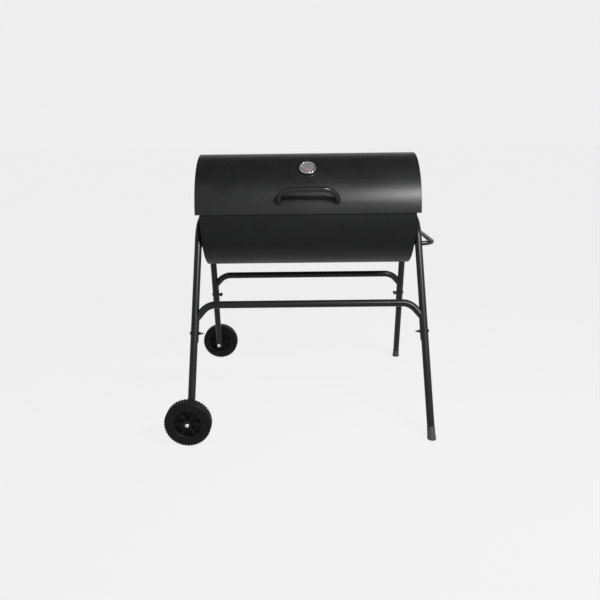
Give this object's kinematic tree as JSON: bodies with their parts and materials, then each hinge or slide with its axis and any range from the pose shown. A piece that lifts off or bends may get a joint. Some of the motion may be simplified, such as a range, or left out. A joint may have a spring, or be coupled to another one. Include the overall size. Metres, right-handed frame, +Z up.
{
  "type": "barrel charcoal grill",
  "caption": "Barrel charcoal grill: hinged half-barrel lid with thermometer over a firebox with lift-out grates, on a splayed tubular stand with wheels at one end.",
  "frame": {"origin": "on the ground, under the middle of the grill's bounding box", "axes": "+X along the barrel from the wheels to the side handle, -Y towards the cook, +Z up"},
  "size_m": [0.918, 0.889, 0.919],
  "materials": {
    "lid_paint": "satin heat-resistant black",
    "box_paint": "satin heat-resistant black",
    "tube_paint": "semi-gloss black powder coat",
    "handle_paint": "semi-gloss black powder coat",
    "hinge_paint": "black painted hinge steel",
    "damper_paint": "satin black",
    "black_fastener": "black oxide",
    "zinc_fastener": "zinc plated",
    "bezel_chrome": "polished",
    "dial_face": "printed grey dial",
    "needle_paint": "red",
    "gauge_glass": "clear",
    "probe_steel": "stainless",
    "rail_steel": "galvanised sheet",
    "grate_chrome": "chromed wire",
    "coal_wire": "plain steel wire",
    "foot_rubber": "matte black cap",
    "wheel_plastic": "moulded black"
  },
  "bodies": {
    "stand": {"hinge_box_leaf_left": "hinge_paint", "hinge_box_leaf_right": "hinge_paint", "hinge_box_rivets": "black_fastener", "hinge_pins": "zinc_fastener", "firebox_shell": "box_paint", "firebox_end_left": "box_paint", "firebox_end_right": "box_paint", "grate_rail_front": "rail_steel", "grate_rail_rear": "rail_steel", "damper_rivets": "black_fastener", "side_arch_left": "tube_paint", "side_arch_right": "tube_paint", "arch_bolts": "black_fastener", "arch_washers": "zinc_fastener", "arch_nuts": "zinc_fastener", "leg_front_left": "tube_paint", "leg_rear_left": "tube_paint", "leg_front_right": "tube_paint", "leg_rear_right": "tube_paint", "leg_joint_screws": "black_fastener", "crossbar_front": "tube_paint", "crossbar_rear": "tube_paint", "crossbar_bolts": "black_fastener", "crossbar_wing_nuts": "black_fastener", "foot_cap_front": "foot_rubber", "foot_cap_rear": "foot_rubber", "axle_bolts": "zinc_fastener", "axle_spacers": "black_fastener", "axle_saddles": "black_fastener", "axle_nuts": "zinc_fastener", "side_handle": "handle_paint", "side_handle_bolts": "black_fastener"},
    "lid": {"lid_shell": "lid_paint", "lid_end_left": "lid_paint", "lid_end_right": "lid_paint", "lid_handle": "handle_paint", "lid_handle_screws": "zinc_fastener", "thermometer_case": "bezel_chrome", "thermometer_dial": "dial_face", "thermometer_lens": "gauge_glass", "thermometer_stem": "probe_steel", "thermometer_nut": "zinc_fastener", "hinge_lid_leaf_left": "hinge_paint", "hinge_lid_leaf_right": "hinge_paint", "hinge_lid_rivets": "black_fastener"},
    "needle": {"thermometer_needle": "needle_paint"},
    "wheel_front": {"wheel_front": "wheel_plastic"},
    "wheel_rear": {"wheel_rear": "wheel_plastic"},
    "cooking_grate_left": {"cooking_grate_left": "grate_chrome"},
    "cooking_grate_right": {"cooking_grate_right": "grate_chrome"},
    "charcoal_grate_left": {"charcoal_grate_left": "coal_wire"},
    "charcoal_grate_right": {"charcoal_grate_right": "coal_wire"},
    "damper_left": {"air_damper_left": "damper_paint"},
    "damper_right": {"air_damper_right": "damper_paint"}
  },
  "joints": [
    {"name": "lid_hinge", "type": "hinge", "parent": "stand", "child": "lid", "pos_m": [0.01782, 0.206, 0.721], "axis": [-1, 0, 0], "range_deg": [0, 95]},
    {"name": "needle_turn", "type": "hinge", "parent": "lid", "child": "needle", "pos_m": [0.01782, -0.13121, 0.86994], "axis": [0, 0.6561, -0.7547], "range_deg": [0, 270]},
    {"name": "wheel_front_spin", "type": "hinge", "parent": "stand", "child": "wheel_front", "pos_m": [-0.38247, -0.41816, 0.0765], "axis": [0, 1, 0], "continuous": true},
    {"name": "wheel_rear_spin", "type": "hinge", "parent": "stand", "child": "wheel_rear", "pos_m": [-0.38247, 0.41816, 0.0765], "axis": [0, 1, 0], "continuous": true},
    {"name": "cooking_grate_left_lift", "type": "slide", "parent": "stand", "child": "cooking_grate_left", "axis": [0, 0, 1], "range_m": [0, 0.022]},
    {"name": "cooking_grate_right_lift", "type": "slide", "parent": "stand", "child": "cooking_grate_right", "axis": [0, 0, 1], "range_m": [0, 0.022]},
    {"name": "charcoal_grate_left_lift", "type": "slide", "parent": "stand", "child": "charcoal_grate_left", "axis": [0, 0, 1], "range_m": [0, 0.06]},
    {"name": "charcoal_grate_right_lift", "type": "slide", "parent": "stand", "child": "charcoal_grate_right", "axis": [0, 0, 1], "range_m": [0, 0.06]},
    {"name": "damper_left_turn", "type": "hinge", "parent": "stand", "child": "damper_left", "pos_m": [-0.34768, 0, 0.64], "axis": [1, 0, 0], "range_deg": [0, 45]},
    {"name": "damper_right_turn", "type": "hinge", "parent": "stand", "child": "damper_right", "pos_m": [0.38332, 0, 0.64], "axis": [1, 0, 0], "range_deg": [0, 45]}
  ]
}
